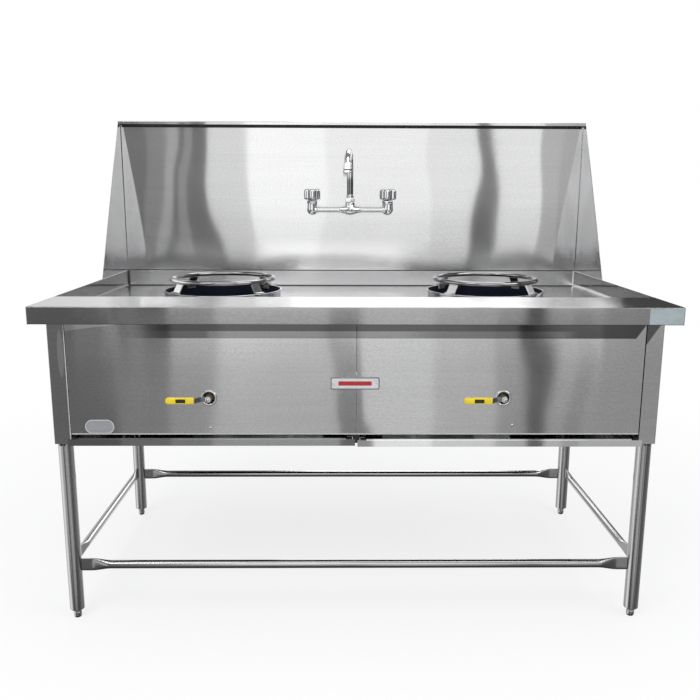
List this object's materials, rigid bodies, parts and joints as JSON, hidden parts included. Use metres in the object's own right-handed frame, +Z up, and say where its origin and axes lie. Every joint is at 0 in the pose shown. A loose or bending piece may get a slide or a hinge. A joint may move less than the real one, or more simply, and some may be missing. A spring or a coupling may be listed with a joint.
{
  "type": "wok range",
  "caption": "Stainless gas wok range with a recessed worktop, ring burners, splashes on three sides, drip trays, lever gas valves and a wall mixer faucet.",
  "frame": {"origin": "on the floor under the middle of the range, half way between the fascia and the rear skirt", "axes": "+X to the right seen from the front, +Y to the back, +Z up; the front faces -Y"},
  "size_m": [1.6, 0.95, 1.36],
  "materials": {
    "stainless": "brushed",
    "chrome": "polished",
    "cast_iron": "black enamel",
    "black_pipe": "semi-gloss black",
    "brass": "satin",
    "yellow_vinyl": "gloss"
  },
  "bodies": {
    "range": {"worktop": "stainless", "back_splash": "stainless", "back_panel": "stainless", "drain_outlet": "stainless", "tray_runner_centre": "stainless", "nameplate": "stainless", "rating_plate": "stainless", "side_splash_left": "stainless", "side_splash_right": "stainless", "side_panel_left": "stainless", "side_panel_right": "stainless", "front_panel_left": "stainless", "front_panel_right": "stainless", "burner_collar_left": "stainless", "burner_collar_right": "stainless", "tray_runner_left": "stainless", "tray_runner_right": "stainless", "supply_pipe_left": "stainless", "supply_pipe_right": "stainless", "leg_front_left": "stainless", "leg_front_right": "stainless", "leg_back_left": "stainless", "leg_back_right": "stainless", "frame_rail_front": "stainless", "frame_rail_back": "stainless", "frame_rail_left": "stainless", "frame_rail_right": "stainless", "cross_rail_front": "stainless", "cross_rail_back": "stainless", "cross_rail_left": "stainless", "cross_rail_right": "stainless", "faucet_body": "chrome", "valve_bezel_left": "chrome", "valve_bezel_right": "chrome", "burner_head_left": "cast_iron", "burner_head_right": "cast_iron", "mixing_tube_left": "cast_iron", "mixing_tube_right": "cast_iron", "gas_manifold": "black_pipe", "gas_riser_left": "black_pipe", "gas_riser_right": "black_pipe", "valve_body_left": "brass", "valve_body_right": "brass"},
    "wok_ring_left": {"wok_ring_left": "stainless"},
    "valve_lever_left": {"valve_lever_left": "stainless", "lever_grip_left": "yellow_vinyl"},
    "drip_tray_left": {"drip_tray_left": "stainless"},
    "faucet_handle_left": {"faucet_handle_left": "chrome"},
    "air_shutter_left": {"air_shutter_left": "black_pipe"},
    "wok_ring_right": {"wok_ring_right": "stainless"},
    "valve_lever_right": {"valve_lever_right": "stainless", "lever_grip_right": "yellow_vinyl"},
    "drip_tray_right": {"drip_tray_right": "stainless"},
    "faucet_handle_right": {"faucet_handle_right": "chrome"},
    "air_shutter_right": {"air_shutter_right": "black_pipe"},
    "spout": {"faucet_spout": "chrome"},
    "foot_front_left": {"foot_front_left": "stainless"},
    "foot_front_right": {"foot_front_right": "stainless"},
    "foot_back_left": {"foot_back_left": "stainless"},
    "foot_back_right": {"foot_back_right": "stainless"}
  },
  "joints": [
    {"name": "wok_ring_left_lift", "type": "slide", "parent": "range", "child": "wok_ring_left", "axis": [0, 0, 1], "range_m": [0, 0.08]},
    {"name": "valve_lever_left_turn", "type": "hinge", "parent": "range", "child": "valve_lever_left", "pos_m": [-0.372, -0.4303, 0.613], "axis": [0, -1, 0], "range_deg": [0, 90]},
    {"name": "drip_tray_left_slide", "type": "slide", "parent": "range", "child": "drip_tray_left", "axis": [0, -1, 0], "range_m": [0, 0.45]},
    {"name": "faucet_handle_left_turn", "type": "hinge", "parent": "range", "child": "faucet_handle_left", "pos_m": [-0.1405, 0.39, 1.0972], "axis": [0, 0, 1], "range_deg": [0, 90]},
    {"name": "air_shutter_left_turn", "type": "hinge", "parent": "range", "child": "air_shutter_left", "pos_m": [-0.388, -0.2663, 0.712], "axis": [0, 1, 0], "range_deg": [0, 60]},
    {"name": "wok_ring_right_lift", "type": "slide", "parent": "range", "child": "wok_ring_right", "axis": [0, 0, 1], "range_m": [0, 0.08]},
    {"name": "valve_lever_right_turn", "type": "hinge", "parent": "range", "child": "valve_lever_right", "pos_m": [0.372, -0.4303, 0.613], "axis": [0, -1, 0], "range_deg": [0, 90]},
    {"name": "drip_tray_right_slide", "type": "slide", "parent": "range", "child": "drip_tray_right", "axis": [0, -1, 0], "range_m": [0, 0.45]},
    {"name": "faucet_handle_right_turn", "type": "hinge", "parent": "range", "child": "faucet_handle_right", "pos_m": [0.1245, 0.39, 1.0972], "axis": [0, 0, -1], "range_deg": [0, 90]},
    {"name": "air_shutter_right_turn", "type": "hinge", "parent": "range", "child": "air_shutter_right", "pos_m": [0.388, -0.2663, 0.712], "axis": [0, 1, 0], "range_deg": [0, 60]},
    {"name": "spout_swing", "type": "hinge", "parent": "range", "child": "spout", "pos_m": [-0.008, 0.39, 1.1093], "axis": [0, 0, 1], "range_deg": [-85, 94]},
    {"name": "foot_front_left_height", "type": "slide", "parent": "range", "child": "foot_front_left", "axis": [0, 0, -1], "range_m": [0, 0.02]},
    {"name": "foot_front_right_height", "type": "slide", "parent": "range", "child": "foot_front_right", "axis": [0, 0, -1], "range_m": [0, 0.02]},
    {"name": "foot_back_left_height", "type": "slide", "parent": "range", "child": "foot_back_left", "axis": [0, 0, -1], "range_m": [0, 0.02]},
    {"name": "foot_back_right_height", "type": "slide", "parent": "range", "child": "foot_back_right", "axis": [0, 0, -1], "range_m": [0, 0.02]}
  ]
}
